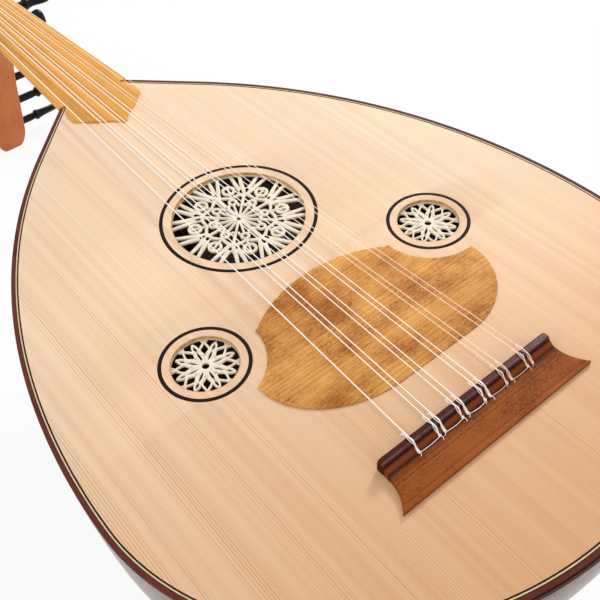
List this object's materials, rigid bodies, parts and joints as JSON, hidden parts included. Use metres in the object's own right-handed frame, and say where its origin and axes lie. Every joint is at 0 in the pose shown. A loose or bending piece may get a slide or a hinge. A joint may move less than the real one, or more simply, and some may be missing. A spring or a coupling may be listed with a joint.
{
  "type": "turkish oud",
  "caption": "Short-necked lute with a staved bowl, pear-shaped soundboard with three rosettes, long pickguard, skirted bridge and bent-back pegbox with turning pegs.",
  "frame": {"origin": "bottom centre of the bounding box", "axes": "+Y from the tail towards the pegbox, +X towards the treble side, +Z out of the soundboard"},
  "size_m": [0.3698, 0.7864, 0.2145],
  "materials": {
    "spruce": "fine satin finish",
    "mahogany": "satin varnish",
    "walnut": "satin varnish",
    "golden_wood": "satin varnish",
    "rosewood": "polished",
    "ebony": "polished",
    "rosette_cream": "plain, cut through",
    "bone": "polished bone",
    "white_string": "wound, pale",
    "clear_string": "plain, nearly clear"
  },
  "bodies": {
    "oud": {"stave_01": "walnut", "stave_02": "mahogany", "stave_03": "walnut", "stave_04": "mahogany", "stave_05": "walnut", "stave_06": "mahogany", "stave_07": "walnut", "stave_08": "mahogany", "stave_09": "walnut", "stave_10": "mahogany", "stave_11": "walnut", "stave_12": "mahogany", "stave_13": "walnut", "neck_block": "spruce", "tail_block": "spruce", "soundboard": "spruce", "brace_1": "spruce", "brace_2": "spruce", "brace_3": "spruce", "brace_4": "spruce", "brace_5": "spruce", "brace_6": "spruce", "end_clasp": "walnut", "edge_binding": "walnut", "purfling": "ebony", "large_rosette": "rosette_cream", "bass_rosette": "rosette_cream", "treble_rosette": "rosette_cream", "fingerboard": "golden_wood", "pickguard": "golden_wood", "neck": "mahogany", "bridge": "mahogany", "pegbox_back": "mahogany", "bass_cheek": "mahogany", "treble_cheek": "mahogany", "pegbox_tip": "mahogany", "bridge_cap": "rosewood", "nut": "bone", "string_1": "white_string", "string_2a": "white_string", "string_2b": "white_string", "string_3a": "white_string", "string_3b": "white_string", "string_4a": "white_string", "string_4b": "white_string", "string_5a": "clear_string", "string_5b": "clear_string", "string_6a": "clear_string", "string_6b": "clear_string"},
    "treble_peg_1_body": {"treble_peg_1": "ebony"},
    "bass_peg_1_body": {"bass_peg_1": "ebony"},
    "treble_peg_2_body": {"treble_peg_2": "ebony"},
    "bass_peg_2_body": {"bass_peg_2": "ebony"},
    "treble_peg_3_body": {"treble_peg_3": "ebony"},
    "bass_peg_3_body": {"bass_peg_3": "ebony"},
    "treble_peg_4_body": {"treble_peg_4": "ebony"},
    "bass_peg_4_body": {"bass_peg_4": "ebony"},
    "treble_peg_5_body": {"treble_peg_5": "ebony"},
    "bass_peg_5_body": {"bass_peg_5": "ebony"},
    "treble_peg_6_body": {"treble_peg_6": "ebony"}
  },
  "joints": [
    {"name": "treble_peg_1_turn", "type": "hinge", "parent": "oud", "child": "treble_peg_1_body", "pos_m": [0, 0.31812, 0.17808], "axis": [1, 0, 0], "range_deg": [-720, 360]},
    {"name": "bass_peg_1_turn", "type": "hinge", "parent": "oud", "child": "bass_peg_1_body", "pos_m": [0, 0.33216, 0.16278], "axis": [1, 0, 0], "range_deg": [-720, 360]},
    {"name": "treble_peg_2_turn", "type": "hinge", "parent": "oud", "child": "treble_peg_2_body", "pos_m": [0, 0.34482, 0.14495], "axis": [1, 0, 0], "range_deg": [-720, 360]},
    {"name": "bass_peg_2_turn", "type": "hinge", "parent": "oud", "child": "bass_peg_2_body", "pos_m": [0, 0.35191, 0.12935], "axis": [1, 0, 0], "range_deg": [-720, 360]},
    {"name": "treble_peg_3_turn", "type": "hinge", "parent": "oud", "child": "treble_peg_3_body", "pos_m": [0, 0.35776, 0.1139], "axis": [1, 0, 0], "range_deg": [-720, 360]},
    {"name": "bass_peg_3_turn", "type": "hinge", "parent": "oud", "child": "bass_peg_3_body", "pos_m": [0, 0.36287, 0.09822], "axis": [1, 0, 0], "range_deg": [-720, 360]},
    {"name": "treble_peg_4_turn", "type": "hinge", "parent": "oud", "child": "treble_peg_4_body", "pos_m": [0, 0.36723, 0.08234], "axis": [1, 0, 0], "range_deg": [-720, 360]},
    {"name": "bass_peg_4_turn", "type": "hinge", "parent": "oud", "child": "bass_peg_4_body", "pos_m": [0, 0.37087, 0.06666], "axis": [1, 0, 0], "range_deg": [-720, 360]},
    {"name": "treble_peg_5_turn", "type": "hinge", "parent": "oud", "child": "treble_peg_5_body", "pos_m": [0, 0.37432, 0.05143], "axis": [1, 0, 0], "range_deg": [-720, 360]},
    {"name": "bass_peg_5_turn", "type": "hinge", "parent": "oud", "child": "bass_peg_5_body", "pos_m": [0, 0.37777, 0.03621], "axis": [1, 0, 0], "range_deg": [-720, 360]},
    {"name": "treble_peg_6_turn", "type": "hinge", "parent": "oud", "child": "treble_peg_6_body", "pos_m": [0, 0.3812, 0.02097], "axis": [1, 0, 0], "range_deg": [-720, 360]}
  ]
}
